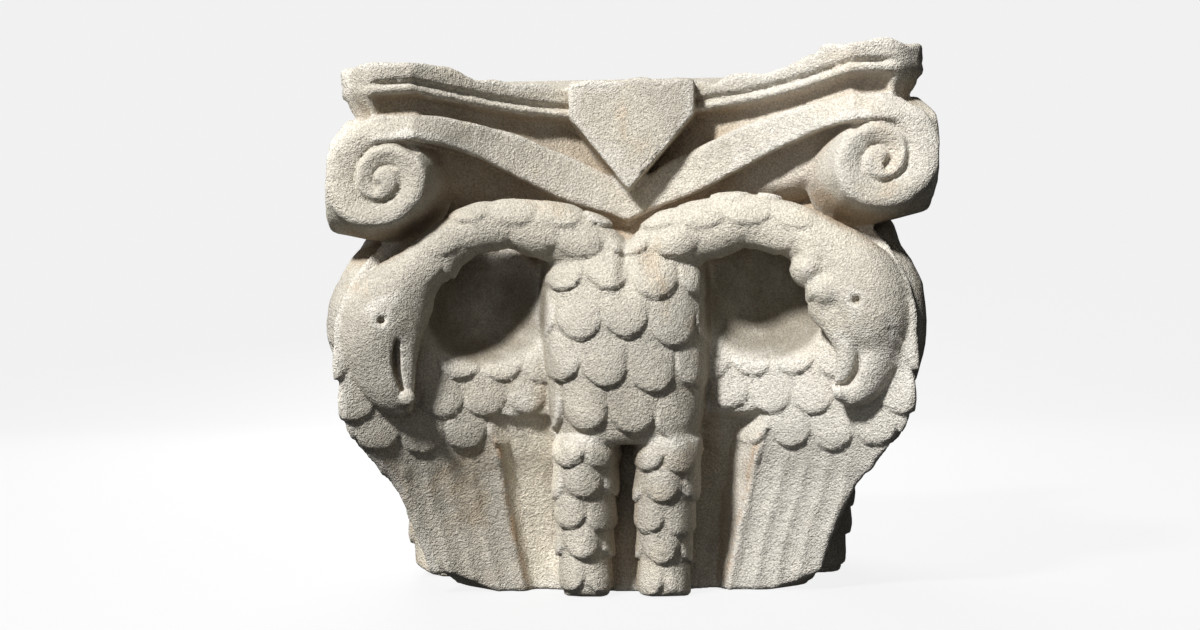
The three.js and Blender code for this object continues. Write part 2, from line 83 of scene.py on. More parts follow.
BREAST_FOOT = 102
BREAST_TOP = 240
BREAST_OUT = 122
BREAST_TIP = 232  # tips of the breast's uppermost row of scales
THIGH_ACROSS = 26
THIGH_OUT = 135
THIGH_HALF = 15.5
THIGH_TOP = 108

# The niche under each neck: its middle, its half sizes and how square it is
NICHE_MIDDLE = (93, 200, 170)
NICHE_HALF = (41, 42, 52)
NICHE_POWER = 2.4

# Sizes of the overlapping scales
BREAST_SCALE = {"wide": 30.8, "pitch": 30.9, "relief": 5.2, "rows": 7}
WING_SCALE = {"wide": 27.3, "pitch": 23.4, "relief": 4.2, "rows": 3}
THIGH_SCALE = {"wide": 25, "pitch": 20.6, "relief": 4.4, "rows": 6}

# The birds: necks, jaws, slits and creases are middle lines of across, up, out and radius,
# lobes and knobs are balls with the same four values, and an eye is across, up and radius.
LEFT_BIRD = {
    "neck": [
        (-10, 222, 148, 15), (-22, 232, 152, 18), (-50, 245, 157, 19), (-72, 250, 161, 16.5),
        (-96, 248.6, 165, 16), (-111, 242, 167, 15.8), (-126, 231.5, 170, 16.5), (-139, 218, 172, 19),
        (-150, 205, 174, 23), (-159, 190, 176, 25.5), (-162, 176, 177, 24.5), (-161, 161, 177, 21),
        (-155, 144, 177, 15.5), (-148, 132, 176, 9),
    ],
    "jaw": [
        (-142, 194, 172, 15), (-142, 178, 177, 9.5), (-142, 163, 179, 6.5), (-142, 150, 180, 5),
        (-142, 140, 180, 4),
    ],
    "slit": [(-146.3, 174, 192, 1.6), (-147.6, 161, 188, 2.6), (-147, 151, 187, 2.7), (-145, 142, 185, 1.8)],
    "eye": (-155.5, 188, 2.9),
    "knob": (-141, 135.5, 184, 5.4),
    "lobes": [(-122, 223, 168, 10)],
    "creases": [
        [(-163, 194, 201, 0.7), (-157, 199, 201, 1), (-150, 201, 200, 1), (-146, 204, 198, 0.6)],
        [(-184, 199, 184, 0.8), (-176, 204, 192, 1), (-172, 211, 192, 0.6)],
    ],
}
RIGHT_BIRD = {
    "neck": [
        (10, 222, 148, 15), (28, 234, 153, 19), (57, 244, 158, 19.5), (87, 246.5, 163, 16),
        (110, 239, 166, 16.5), (134, 224, 170, 19), (147, 211, 172, 23), (155, 199, 174, 26),
        (161, 183, 176, 25.5), (164, 166, 177, 16.5), (160, 150, 178, 13.5), (153, 137, 178, 10.5),
        (143, 133, 178, 7), (138, 137, 178, 4.5),
    ],
    "jaw": [
        (133, 190, 172, 13), (140, 174, 178, 9), (144, 161, 180, 7), (143.5, 151, 180, 6),
        (140, 142, 179, 4),
    ],
    "slit": [
        (139, 172, 196, 1.2), (147, 165, 194, 1.7), (150.5, 157, 191, 2.2), (148.5, 147, 188, 2.4),
        (142, 139.5, 185, 2), (137, 140, 183, 1.4),
    ],
    "eye": (148.5, 192, 2.9),
    "knob": (138.5, 134, 181, 4.5),
    "lobes": [(122, 216, 170, 12.5), (132, 199, 175, 12.5)],
    "creases": [
        [(128, 181, 200, 0.8), (140, 178, 201, 1.2), (150, 175, 201, 1), (158, 172, 200, 0.6)],
        [(134, 203, 200, 0.6), (142, 199, 201, 1), (150, 201, 202, 0.6)],
        [(180, 168, 190, 1), (172, 172, 196, 1.4), (168, 180, 197, 0.8)],
        [(141, 186, 203, 1.3), (149, 182.5, 203, 1.6)],
    ],
}
EYE_OUT = 196

GRID_STEP = 2.0
MOST_TRIANGLES = 196000
TO_METRES = 0.001
TO_MILLIMETRES = 1000


def join(a, b, soft):
    """The union of two shapes, with the crease between them softened."""
    t = np.clip(0.5 + 0.5 * (b - a) / soft, 0, 1)
    return b + (a - b) * t - soft * t * (1 - t)


def meet(a, b, soft):
    """What two shapes share, with the edge between them worn round."""
    return -join(-a, -b, soft)


def ease(low, high, x):
    """A smooth step from 0 at low to 1 at high, where low may be the larger."""
    t = np.clip((x - low) / (high - low), 0, 1)
    return t * t * (3 - 2 * t)


def curve(*knots):
    """A smooth curve through (x, value) knots."""
    xs, ys = np.array(knots, float).T
    slope = np.gradient(ys, xs)
    slope[0] = (ys[1] - ys[0]) / (xs[1] - xs[0])
    slope[-1] = (ys[-1] - ys[-2]) / (xs[-1] - xs[-2])

    def value(x):
        x = np.clip(x, xs[0], xs[-1])
        i = np.clip(np.searchsorted(xs, x) - 1, 0, len(xs) - 2)
        span = xs[i + 1] - xs[i]
        t = (x - xs[i]) / span
        s = 1 - t
        ends = (1 + 2 * t) * s * s * ys[i] + t * t * (3 - 2 * t) * ys[i + 1]
        return ends + t * s * span * (s * slope[i] - t * slope[i + 1])

    return value


# Profiles that depend on the height
bell_radius = curve(
    (0, 124), (60, 119), (120, 120), (180, 124), (230, 125), (262, 116), (300, 106), (350, 106),
)
wing_corner = curve(
    (0, 130), (20, 135), (60, 150), (78, 159), (97, 173), (112, 182), (150, 189), (200, 187), (224, 176),
    (240, 165), (262, 150),
)
wing_hollow = curve((0, 17), (60, 33), (120, 51), (200, 52))
wing_inner = curve((0, 67), (60, 79), (112, 91), (126, 100))
breast_half = curve((95, 46), (130, 53), (170, 57), (225, 57))
breast_depth = curve((95, 47), (120, 52), (170, 54), (215, 50), (245, 40))
abacus_inset = curve(
    (305, 24), (319, 20), (326, 17), (330, 13), (332, 3), (334, 0.5), (336, 1), (338, 4.2), (339.4, 4),
    (341.4, 0.6), (345, 0), (352, 0), (380, 0),
)

# Profiles that depend on the distance from a face's middle
stem_top = curve((0, 275), (20, 287), (47, 300), (75, 311), (100, 318), (130, 323), (158, 323.5), (180, 321))
stem_foot = curve((0, 251), (13, 257), (47, 269), (75, 283), (100, 295), (125, 303), (158, 306), (180, 303))
worn_rim = curve((0, 345), (47, 345.5), (84, 346), (109, 349.5), (122, 355.5), (142, 357.5), (192, 357.5))

# Radius of a volute after so many turns from its top
spiral = curve(
    (0, 44), (0.25, 37), (0.5, 29.5), (0.75, 28.5), (1, 25.5), (1.25, 18), (1.5, 14), (1.75, 12.7), (2, 10.5),
    (2.25, 6), (2.5, 3),
)


def scales(s, t, spec):
    """Height of overlapping round-ended scales: s runs across, t down from the tips of the first row."""
    wide, pitch, relief = spec["wide"], spec["pitch"], spec["relief"]
    radius = wide * 0.5
    uneven_across, uneven_down = 0.07, 0.08
    root_height, rim_fall, edge_width = 0.1, 0.42, 1.2
    height = np.zeros_like(s)
    first = np.floor(t / pitch)
    for below in range(3):
        row = first + below
        shift = np.mod(row, 2) / 2 + uneven_across * np.sin(2.3 * row + 1)
        column = np.round(s / wide - shift)
        beside = s - (column + shift) * wide
        tip = (row + uneven_down * np.sin(4.1 * column + 2.7 * row)) * pitch
        off = np.hypot(beside, np.maximum(t - tip + radius, 0))
        lift = root_height + (1 - root_height) * np.clip(1 + (t - tip) / (1.1 * pitch), 0, 1)
        pillow = 1 - rim_fall * (off / radius) ** 2
        one = relief * lift * pillow * ease(0, edge_width, radius - off)
        height = np.maximum(height, np.where((row >= 0) & (row < spec["rows"]), one, 0))
    return height


def tube(p, knots, pieces, squeeze=1.0):
    """Distance to a tapering tube through knots, flattened in depth by squeeze."""
    knots = np.array(knots, float)
    run = np.concatenate([[0], np.cumsum(np.linalg.norm(np.diff(knots[:, :3], axis=0), axis=1))])
    at = np.linspace(0, run[-1], pieces + 1)
    line = np.stack([curve(*zip(run, knots[:, i]))(at) for i in range(4)], 1)
    line[:, 2] /= squeeze
    point = np.stack([p[0], p[1], p[2] / squeeze])
    nearest = np.full(p.shape[1], 1e9, np.float32)
    for a, b in zip(line[:-1], line[1:]):
        along = (b - a)[:3]
        from_a = point - a[:3, None].astype(np.float32)
        t = np.clip(along.astype(np.float32) @ from_a / (along @ along), 0, 1)
        off = from_a - t * along[:, None].astype(np.float32)
        nearest = np.minimum(nearest, np.sqrt((off * off).sum(0)) - a[3] - t * (b[3] - a[3]))
    return nearest


def core(u, w, v, diagonal, reach, even):
    """The round bell, and above it the body that follows the abacus."""
    drum = np.hypot(u, w) - bell_radius(v)
    star = meet((w - reach + 22) * even, diagonal - (HALF - 16) * math.sqrt(2), 14)
    return join(drum, star + 50 * (1 - ease(222, 262, v - 0.22 * (u - 40))), 10)


def niche(u, v, w):
    """The hollow that is cut behind a neck."""
    sizes = zip((u, v, w), NICHE_MIDDLE, NICHE_HALF)
    total = sum(np.abs((x - middle) / half) ** NICHE_POWER for x, middle, half in sizes)
    return (total ** (1 / NICHE_POWER) - 1) * min(NICHE_HALF)


def wings(u, v, w, across, diagonal):
    """The two wings of a face, which meet at its corners, with the sunk panels beside the thighs."""
    corner = wing_corner(v)
    t = np.clip(u / corner, 0, 1)
    face = corner - wing_hollow(v) * (1 - t * t)
    inner = wing_inner(v)
    plate = meet((w - face) * 0.85, diagonal - (corner - 2) * math.sqrt(2), 5)
    sunk = np.where(across > 0, RIGHT_PANEL_DEPTH, PANEL_DEPTH)
    panel = meet(plate + sunk + 40 * ease(PANEL_TOP + 2, PANEL_TOP + 8, v), 44 - u, 8)
    depth = np.clip(face - w, 0, 20)
    lintel = PANEL_TOP + 3 * ease(75, 95, u)
    jamb = join(inner - u - 0.7 * depth, lintel - v - 0.2 * depth, 12)
    opening = np.maximum(jamb, 40 - u)
    wing = meet(plate, opening, 3)
    lap = scales(u - 82, 144.8 - v, WING_SCALE) * ease(88, 97, v + 0.12 * (u - 82))
    lane = (u - inner - 7 + 1.2 * np.sin(v / 17)) / FLIGHT_WIDTH
    ridge = (0.5 + 0.5 * np.cos(2 * math.pi * lane)) ** 3
    flight = FLIGHT_RELIEF * ridge * ease(-0.2, 0.3, lane) * (1 - ease(84, 97, v))
    border = BORDER_RELIEF * np.exp(-(((u - inner - 3.4) / 2.6) ** 2)) * (1 - ease(92, 112, v))
    wing = wing - np.maximum(lap, flight) - border
    wing = meet(wing, -niche(u, v, w), 14)
    return meet(join(panel, wing, 2), v - WING_TOP, 8)


def plumage(across, v):
    """The scales of the breast, which grow shorter where they run up onto the necks."""
    squeezed = v + 0.6 * np.maximum(v - 215, 0)
    first_tip = BREAST_TIP + 2 * BREAST_SCALE["pitch"]
    return scales(across - 2, first_tip - squeezed - 0.07 * across, BREAST_SCALE)


def breast(u, v, w, across):
    """The breast that the two birds share, with a valley where their necks part."""
    power = 2.7
    beside, out = u / breast_half(v), np.abs(w - BREAST_OUT) / breast_depth(v)
    around = (beside ** power + out ** power) ** (1 / power)
    body = meet((around - 1) * 46, BREAST_FOOT - v, 9)
    body = meet(body, v - (BREAST_TOP + 10 * ease(0, 40, u)), 14)
    valley = 6 * np.exp(-((u / 5) ** 2)) * ease(188, 232, v)
    return body - plumage(across, v) * (1 - 0.8 * ease(46, 56, u)) + valley


def thigh(u, v, w, across):
    """A thigh that widens and comes forward as it rises."""
    rise = np.clip((v - 4) / 106, 0, 1)
    leg = np.hypot(u - THIGH_ACROSS - 2 * rise, (w - THIGH_OUT - 8 * rise) / 1.3) - THIGH_HALF - 8 * rise
    left = across < 0
    beside = across - np.where(left, -THIGH_ACROSS, THIGH_ACROSS)
    lap = scales(beside, np.where(left, 107, 103.5) - v, THIGH_SCALE)
    return meet(leg, v - THIGH_TOP, 8) - lap * (1 - ease(97, 104, v))


def abacus(u, v, w, diagonal, reach, even, drop):
    """The moulded slab with hollow sides, whose mouldings fade into a plain stump at each ear's end."""
    level = v + drop - FASCIA_RISE
    inset = abacus_inset(level)
    corner = diagonal - (HALF - CORNER_CUT - 7 * ease(338, 316, level)) * math.sqrt(2)
    stump = 0.8 * ease(160, 172, u)
    slab = meet((w - reach + inset * (1 - stump)) * even, corner, 6)
    return meet(slab, ABACUS_FOOT - level, 4)


def boss(u, v, w):
    """The flat block in the middle of a side, which ends in a point below."""
    point = meet(u - BOSS_HALF, (BOSS_TIP + BOSS_SLOPE * u - v) * 0.64, 1.5)
    return meet(point, w - BOSS_OUT, 1.5)


def stem(u, v, w, reach, even, drop):
    """A stem, and the slope that goes back from its upper edge to the foot of the roll."""
    top, foot = stem_top(u), stem_foot(u)
    roll = ROLL_FOOT - drop
    least, more = STEM_SLOPE_BACK
    back = least + more * np.clip((v - top) / (roll - top), 0, 1)
    slope_back = meet((w - reach + back) * even, np.maximum(foot + 4 - v, v - roll), 2)
    band = (np.abs(v - (top + foot) / 2) - (top - foot) / 2) * 0.9
    front = (w - reach - (5 - 10 * ease(304, 324, v)) * ease(100, 150, u)) * even
    return meet(join(meet(band, front, 3), slope_back, 2), u - VOLUTE_ACROSS - 8, 3)


def volute(u, v, w):
    """A corner volute: a scroll that widens towards the back, with a spiral groove on its face."""
    across, up = u - VOLUTE_ACROSS, v - VOLUTE_UP
    radius = np.hypot(across, up)
    turn = np.mod(np.arctan2(across, up) / (2 * math.pi), 1)
    back = np.clip(VOLUTE_FACE - w, 0, 60)
    rim = spiral(turn) + 12 * ease(0.9, 1, turn)
    scroll = (radius - rim - 0.25 * back * ease(0.1, 0.4, turn)) * 0.9
    scroll = meet(meet(scroll, w - VOLUTE_FACE + 6 * ease(306, 324, v), 4), VOLUTE_BACK - w, 4)
    gap = np.full_like(radius, 99)
    for lap in range(3):
        cut = (turn + lap > GROOVE_TURNS[0]) & (turn + lap < GROOVE_TURNS[1])
        off = radius - spiral(turn + lap)
        gap = np.where(cut & (np.abs(off) < np.abs(gap)), off, gap)
    depth = GROOVE_DEPTH * np.clip(1 - np.abs(gap) / GROOVE_HALF, 0, 1)
    depth = np.maximum(depth, CHANNEL_DEPTH * np.clip(1 - gap / CHANNEL, 0, 1) * (gap > 0))
    return scroll + depth * ease(VOLUTE_FACE - 12, VOLUTE_FACE - 6, w)


def ball(p, middle, radius, squeeze=1):
    """Distance to a ball, drawn out in depth by squeeze."""
    across, up, out = middle
    return np.sqrt((p[0] - across) ** 2 + (p[1] - up) ** 2 + ((p[2] - out) / squeeze) ** 2) - radius


def bird(p, parts):
    """One bird's neck, head and beak, where p holds across, up and out."""
    body = tube(p, parts["neck"], 48, 0.84)
    body = join(body, tube(p, parts["jaw"], 8), 5)
    for *middle, radius in parts["lobes"]:
        body = join(body, ball(p, middle, radius, 1.25), 2.5)
    *middle, radius = parts["knob"]
    body = join(body, ball(p, middle, radius), 2)
    beside = np.abs(p[0])
    body = body - plumage(p[0], p[1]) * (1 - 0.3 * ease(20, 50, beside)) * (1 - ease(112, 136, beside))
    body = meet(body, -tube(p, parts["slit"], 12, 4.0), 1)
    for crease in parts["creases"]:
        body = meet(body, -tube(p, crease, 6, 3.0), 1.5)
    across, up, radius = parts["eye"]
    return meet(body, -ball(p, (across, up, EYE_OUT), radius, 2), 1)


def on_face(x, y):
    """How far from its middle, how far out and where across the nearest face a place lies."""
    beside_x, beside_y = np.abs(x), np.abs(y)
    across = np.where(beside_y > beside_x, np.where(y < 0, x, -x), np.where(x > 0, y, -y))
    return np.minimum(beside_x, beside_y), np.maximum(beside_x, beside_y), across


def design(x, y, v):
    """The regular design, the same on its four faces."""
    u, w, across = on_face(x, y)
    t = np.clip(u / (HALF - EAR), 0, 1)
    reach = HALF - RECESS * (1 - t * t)
    even = 1 / np.sqrt(1 + (2 * RECESS * t / (HALF - EAR) * (t < 1)) ** 2)
    drop = SAG * (1 - t * t)
    diagonal = (u + w) / math.sqrt(2)
    distance = core(u, w, v, diagonal, reach, even)

    def add(where, soft, shape, *fields):
        i = np.nonzero(where)[0]
        if len(i):
            distance[i] = join(distance[i], shape(*[field[i] for field in fields]), soft)

    add(v < 272, 3, wings, u, v, w, across, diagonal)
    add((u < 90) & (v > 80) & (v < 275), 3, breast, u, v, w, across)
    add((u < 75) & (v < 140), 3, thigh, u, v, w, across)
    add(v > 270, 1.5, abacus, u, v, w, diagonal, reach, even, drop)
    add((u < 62) & (v > 252), 1.5, boss, u, v, w)
    add((v > 235) & (v < 345), 3, stem, u, v, w, reach, even, drop)
    add((u > 100) & (v > 215) & (w > 125), 3, volute, u, v, w)
    for side_across, out in ((x, -y), (y, x), (-x, y), (-y, -x)):
        for hand, parts in ((-1, LEFT_BIRD), (1, RIGHT_BIRD)):
            beside = side_across * hand
            near = (beside > -20) & (beside < 208) & (out > 110) & (v > 105) & (v < 288)
            i = np.nonzero(near)[0]
            if len(i):
                point = np.stack([side_across[i], v[i], out[i]])
                distance[i] = join(distance[i], bird(point, parts), 2.5)
    return distance


def drawn(x, y, z):
    """Where a place on the stone lies in the regular design: the carving leans and is a little uneven."""
    low = 1 - ease(150, 330, z)
    across = x + LEAN * low + 1.2 * np.sin(z / 31 + 0.7) + 0.8 * np.sin(y / 27 + z / 43)
    along = y + 1.2 * np.sin(z / 37 + 2.1) + 0.8 * np.sin(x / 29 - z / 51)
    sway = np.sin(x / 33 + 0.4) * np.sin(y / 39 + 1) * ease(20, 60, z)
    return across, along, z - CLIMB * x * ease(100, 300, z) + sway


def stone(p):
    """The design as cut by hand, with its worn upper edge and flat beds."""
    x, y, z = p
    distance = design(*drawn(x, y, z))
    u, w = np.minimum(np.abs(x), np.abs(y)), np.maximum(np.abs(x), np.abs(y))
    radius = np.hypot(x, y)
    foot = 14 * ease(148, 186, radius) - 8 * (1 - ease(132, 148, radius))
    distance = meet(distance, foot - z, 2.5)
    chips = 0.9 * np.sin(x / 5.3 + y / 8.1) + 0.8 * np.sin(x / 11 - y / 3.9 + 1)
    chips = chips - 2.5 * ease(0.86, 1, np.sin(x / 17 - y / 13))
    rim = worn_rim(u) - 5 * ease(164, 192, u) + CLIMB * x * ease(100, 160, w) + chips * ease(128, 134, w)
    lid = BED + 8 * (1 - ease(90, 104, w)) + (rim - BED) * ease(100, 134, w)
    distance = meet(distance, z - lid, 2)
    distance = np.maximum(distance, -z)
    return np.maximum(distance, np.where(x < RAISED_EAR, z - BED, -50))


# The grid's corners, and how many places are worked out at a time
LOW = np.array([-214, -214, -6])
HIGH = np.array([214, 214, 370])
CHUNK = 300000


def distances(points):
    """Distances to the stone's surface at rows of x, y and z."""
    points = points.T.astype(np.float32)
    parts = [stone(points[:, i:i + CHUNK]) for i in range(0, points.shape[1], CHUNK)]
    return np.concatenate(parts).astype(np.float32)


def sample(step):
    """Distances on a grid, worked out closely only near the surface, from large blocks to small."""
    size = 8
    count = np.ceil((HIGH - LOW) / (size * step)).astype(int)
    values = np.zeros(count * size, np.float32)
    blocks = np.stack(np.meshgrid(*[np.arange(n) for n in count], indexing="ij"), -1).reshape(-1, 3)
    children = np.array([(i, j, k) for i in (0, 1) for j in (0, 1) for k in (0, 1)])
    while size > 2:
        middle = distances(LOW + (blocks + 0.5) * size * step)
        inner = np.stack(np.meshgrid(*[np.arange(size)] * 3, indexing="ij"), -1).reshape(-1, 3)
        for i in range(0, len(blocks), 4096):
            cells = (blocks[i:i + 4096, None] * size + inner).reshape(-1, 3).T
            values[tuple(cells)] = np.repeat(middle[i:i + 4096], len(inner))
        near = np.abs(middle) < 1.1 * size * step + 6
        blocks = (2 * blocks[near][:, None] + children).reshape(-1, 3)
        size //= 2
    cells = (blocks[:, None] * size + children).reshape(-1, 3)
    values[tuple(cells.T)] = distances(LOW + cells * step)
    return values


def skin(values, step):
    """Quads of the zero surface: a vertex in each crossed cell and a quad on each crossed edge."""
    inside = values < 0
    stride = np.array([values.shape[1] * values.shape[2], values.shape[2], 1])
    cells, places, quads = [], [], []
    for axis in range(3):
        before, after = [slice(None)] * 3, [slice(None)] * 3
        before[axis], after[axis] = slice(0, -1), slice(1, None)
        before, after = tuple(before), tuple(after)
        crossed = np.nonzero(inside[before] != inside[after])
        here, there = values[before][crossed], values[after][crossed]
        place = np.stack(crossed, 1).astype(float)
        place[:, axis] += here / (here - there)
        base = np.stack(crossed, 1) @ stride
        first, second = [stride[k] for k in range(3) if k != axis]
        corners = [base - first - second, base - second, base, base - first]
        cells.extend(corners)
        places.extend([place] * 4)
        quad = np.stack(corners, 1)
        turned = (here < 0) if axis != 1 else (here >= 0)
        quad[~turned] = quad[~turned][:, ::-1]
        quads.append(quad)
    cells = np.concatenate(cells)
    places = np.concatenate(places)
    known, which = np.unique(cells, return_inverse=True)
    many = np.bincount(which)
    points = np.stack([np.bincount(which, places[:, k]) / many for k in range(3)], 1) * step + LOW
    return points, np.searchsorted(known, np.concatenate(quads))


def mesh_from(points, quads):
    """A mesh in metres from points in millimetres and their quads."""
    mesh = bpy.data.meshes.new("capital_stone")
    mesh.vertices.add(len(points))
    mesh.vertices.foreach_set("co", (points * TO_METRES).astype(np.float32).ravel())
    mesh.loops.add(quads.size)
    mesh.loops.foreach_set("vertex_index", quads.astype(np.int32).ravel())
    mesh.polygons.add(len(quads))
    mesh.polygons.foreach_set("loop_start", np.arange(0, quads.size, 4, dtype=np.int32))
    mesh.update(calc_edges=True)
    mesh.validate()
    return mesh


def read(mesh, name="co"):
    """A vector of each vertex, its place or its normal, as rows."""
    values = np.empty(len(mesh.vertices) * 3, np.float32)
    mesh.vertices.foreach_get(name, values)
    return values.reshape(-1, 3)


def thin_out(piece, most):
    """Takes the mesh down to so many triangles, sparing the details."""
    triangles = 2 * len(piece.data.polygons)
    if triangles <= most:
        return
    modifier = piece.modifiers.new("thin", "DECIMATE")
    modifier.ratio = most / triangles
    bpy.context.view_layer.objects.active = piece
    bpy.ops.object.modifier_apply(modifier=modifier.name)


def slope(points):
    """Distance and its gradient at points."""
    spread = 0.5
    at = distances(points)
    sides = [distances(points + spread * np.eye(3)[k]) - at for k in range(3)]
    return at, np.stack(sides, 1) / spread


def settle(mesh):
    """Moves each vertex onto the surface that the distances describe."""
    points = read(mesh).astype(float) * TO_MILLIMETRES
    at, gradient = slope(points)
    steep = np.maximum((gradient ** 2).sum(1), 0.25)
    furthest = 1.2
    move = np.clip(at / steep, -furthest, furthest)[:, None] * gradient
    mesh.vertices.foreach_set("co", ((points - move) * TO_METRES).astype(np.float32).ravel())
    mesh.update()


def waves(points, length, seed):
    """Smooth random unevenness of about that wavelength, mostly between -1 and 1."""
    count = 14
    random = np.random.default_rng(seed)
    ways = random.normal(size=(count, 3))
    ways /= np.linalg.norm(ways, axis=1)[:, None]
    ways *= 2 * math.pi / (length * random.uniform(0.6, 1.6, count))[:, None]
    phase = random.uniform(0, 2 * math.pi, count)
    return np.sin(points @ ways.T + phase).sum(1) / math.sqrt(count)


def weather(mesh):
    """Wears the surface unevenly, apart from the flat beds."""
    points = read(mesh).astype(float) * TO_MILLIMETRES
    normals = read(mesh, "normal")
    flat = (np.abs(points[:, 2]) < 0.5) | (np.abs(points[:, 2] - BED) < 0.5) & (normals[:, 2] > 0.9)
    worn = 0.35 * waves(points, 34, 1) + 0.22 * waves(points, 13, 2) + 0.16 * waves(points, 6.5, 3)
    worn[flat] = 0
    moved = points + worn[:, None] * normals
    moved[:, 2] = np.maximum(moved[:, 2], 0)
    mesh.vertices.foreach_set("co", (moved * TO_METRES).astype(np.float32).ravel())
    mesh.update()


def note(mesh, name, values):
    """Keeps a value between 0 and 1 for each vertex, for the material."""
    layer = mesh.attributes.new(name, "FLOAT", "POINT")
    layer.data.foreach_set("value", np.clip(values, 0, 1).astype(np.float32))


def note_hollows(mesh, points):
    """Notes how deep in a hollow each vertex is, for the painted shade in creases and hollows, and how
    exposed it is.
    """
    normals = read(mesh, "normal").astype(float)
    # Occlusion within 4, 14 and 40 mm: the first paints shade in creases, the others in hollows
    near, middle, far = [1 - distances(points + reach * normals) / reach for reach in (4, 14, 40)]
    note(mesh, "crevice_shade", near)
    note(mesh, "hollow", 0.5 * middle + 0.5 * far)
    depth = 5
    note(mesh, "edge", 1 + distances(points - depth * normals) / depth)


def note_places(mesh, points):
    """Notes where shade and light are painted: shade in the niches and on the boss, brown and shade in the
    abacus's recess, cream and light on the panels, light on the right wing and volute; also the rust seams
    and the darker grey low on the breast and to the left.
    """
    x, y, v = drawn(*points.T)
    u, w, across = on_face(x, y)
    # Painted shade in the niches under the necks, kept off the necks
    note(mesh, "niche", (1 - ease(0, 7, niche(u, v, w))) * (1 - ease(146, 160, w)))
    # Brown in the abacus's recess between stem and roll: partly the stone's colour, partly painted shade
    recess = ease(5, 13, HALF - RECESS * (1 - np.clip(u / (HALF - EAR), 0, 1) ** 2) - w)
    note(mesh, "recess", recess * ease(232, 246, v) * (1 - ease(337, 343, v)))
    # Cream on the sunk panels, weaker on the right: partly their own colour, partly painted light on the lit
    # left ones
    panel = ease(40, 48, u) * (1 - ease(-4, 1, u - wing_inner(v))) * (1 - ease(104, 120, v))
    note(mesh, "panel", panel * (1 - 0.7 * (across > 0)))
    note(mesh, "seam", np.exp(-(((u - wing_inner(v) - 0.5) / 2.2) ** 2)) * (1 - ease(100, 116, v)))
    # Darker grey low on the breast and towards the left of each face, and painted shade on the boss's face
    low_breast = (1 - ease(46, 58, u)) * (1 - ease(130, 178, v)) * ease(20, 60, v)
    on_breast = low_breast * (1 - 0.4 * ease(-8, 20, across))
    boss_shade = (u < BOSS_HALF + 1) * (w > BOSS_OUT - 3) * (v > 262) * 0.55
    on_left = 0.5 * (1 - ease(-70, 30, across))
    note(mesh, "grey_and_shade", np.maximum(np.maximum(on_breast, boss_shade), on_left))
    # Painted light on the right wing and the top of the right volute
    right_wing = ease(52, 66, across) * (1 - ease(150, 180, v)) * ease(110, 125, w)
    right_volute = 0.7 * ease(60, 90, across) * ease(262, 270, v)
    note(mesh, "painted_right_light", np.maximum(right_wing, right_volute))


class Shader:
    """Short calls for a material's nodes."""

    def __init__(self, name):
        self.material = bpy.data.materials.new(name)
        self.material.use_nodes = True
        self.tree = self.material.node_tree
        self.surface = self.tree.nodes["Principled BSDF"]
        self.place = self.node("ShaderNodeTexCoord").outputs["Object"]

    def node(self, kind, **settings):
        """A new node with these settings."""
        made = self.tree.nodes.new(kind)
        for key, value in settings.items():
            setattr(made, key, value)
        return made

    def feed(self, socket, value):
        """Links a socket to another, or sets it."""
        if isinstance(value, bpy.types.NodeSocket):
            self.tree.links.new(value, socket)
        else:
            socket.default_value = value

    def noise(self, scale, detail, roughness, warp=0.0):
        """Noise with so many features to the metre."""
        made = self.node("ShaderNodeTexNoise")
        self.feed(made.inputs["Vector"], self.place)
        self.feed(made.inputs["Scale"], scale)
        self.feed(made.inputs["Detail"], detail)
        self.feed(made.inputs["Roughness"], roughness)
        self.feed(made.inputs["Distortion"], warp)
        return made.outputs["Fac"]

    def grains(self, scale):
        """Distance from the middle of a grain, with so many grains to the metre."""
        made = self.node("ShaderNodeTexVoronoi")
        self.feed(made.inputs["Vector"], self.place)
        self.feed(made.inputs["Scale"], scale)
        return made.outputs["Distance"]

    def noted(self, name):
        """A value that was noted on the vertices."""
        return self.node("ShaderNodeAttribute", attribute_name=name).outputs["Fac"]

    def between(self, value, low, high, to_low=0.0, to_high=1.0):
        """Smoothly from to_low, where the value is low, to to_high, where it is high."""
        made = self.node("ShaderNodeMapRange", interpolation_type="SMOOTHSTEP")
        numbers = (value, low, high, to_low, to_high)
        for socket, number in zip(made.inputs, numbers):
            self.feed(socket, number)
        return made.outputs["Result"]

    def times(self, a, b):
        """The product of two values."""
        made = self.node("ShaderNodeMath", operation="MULTIPLY")
        self.feed(made.inputs[0], a)
        self.feed(made.inputs[1], b)
        return made.outputs[0]

    def mix(self, factor, a, b, blend="MIX"):
        """From colour a to colour b."""
        made = self.node("ShaderNodeMix", data_type="RGBA", blend_type=blend)
        self.feed(made.inputs["Factor"], factor)
        self.feed(made.inputs["A"], a)
        self.feed(made.inputs["B"], b)
        return made.outputs["Result"]

    def bump(self, height, distance, strength, after=None):
        """A normal roughened by height, on top of the one before it."""
        made = self.node("ShaderNodeBump")
        self.feed(made.inputs["Height"], height)
        self.feed(made.inputs["Distance"], distance)
        self.feed(made.inputs["Strength"], strength)
        if after is not None:
            self.feed(made.inputs["Normal"], after)
        return made.outputs["Normal"]


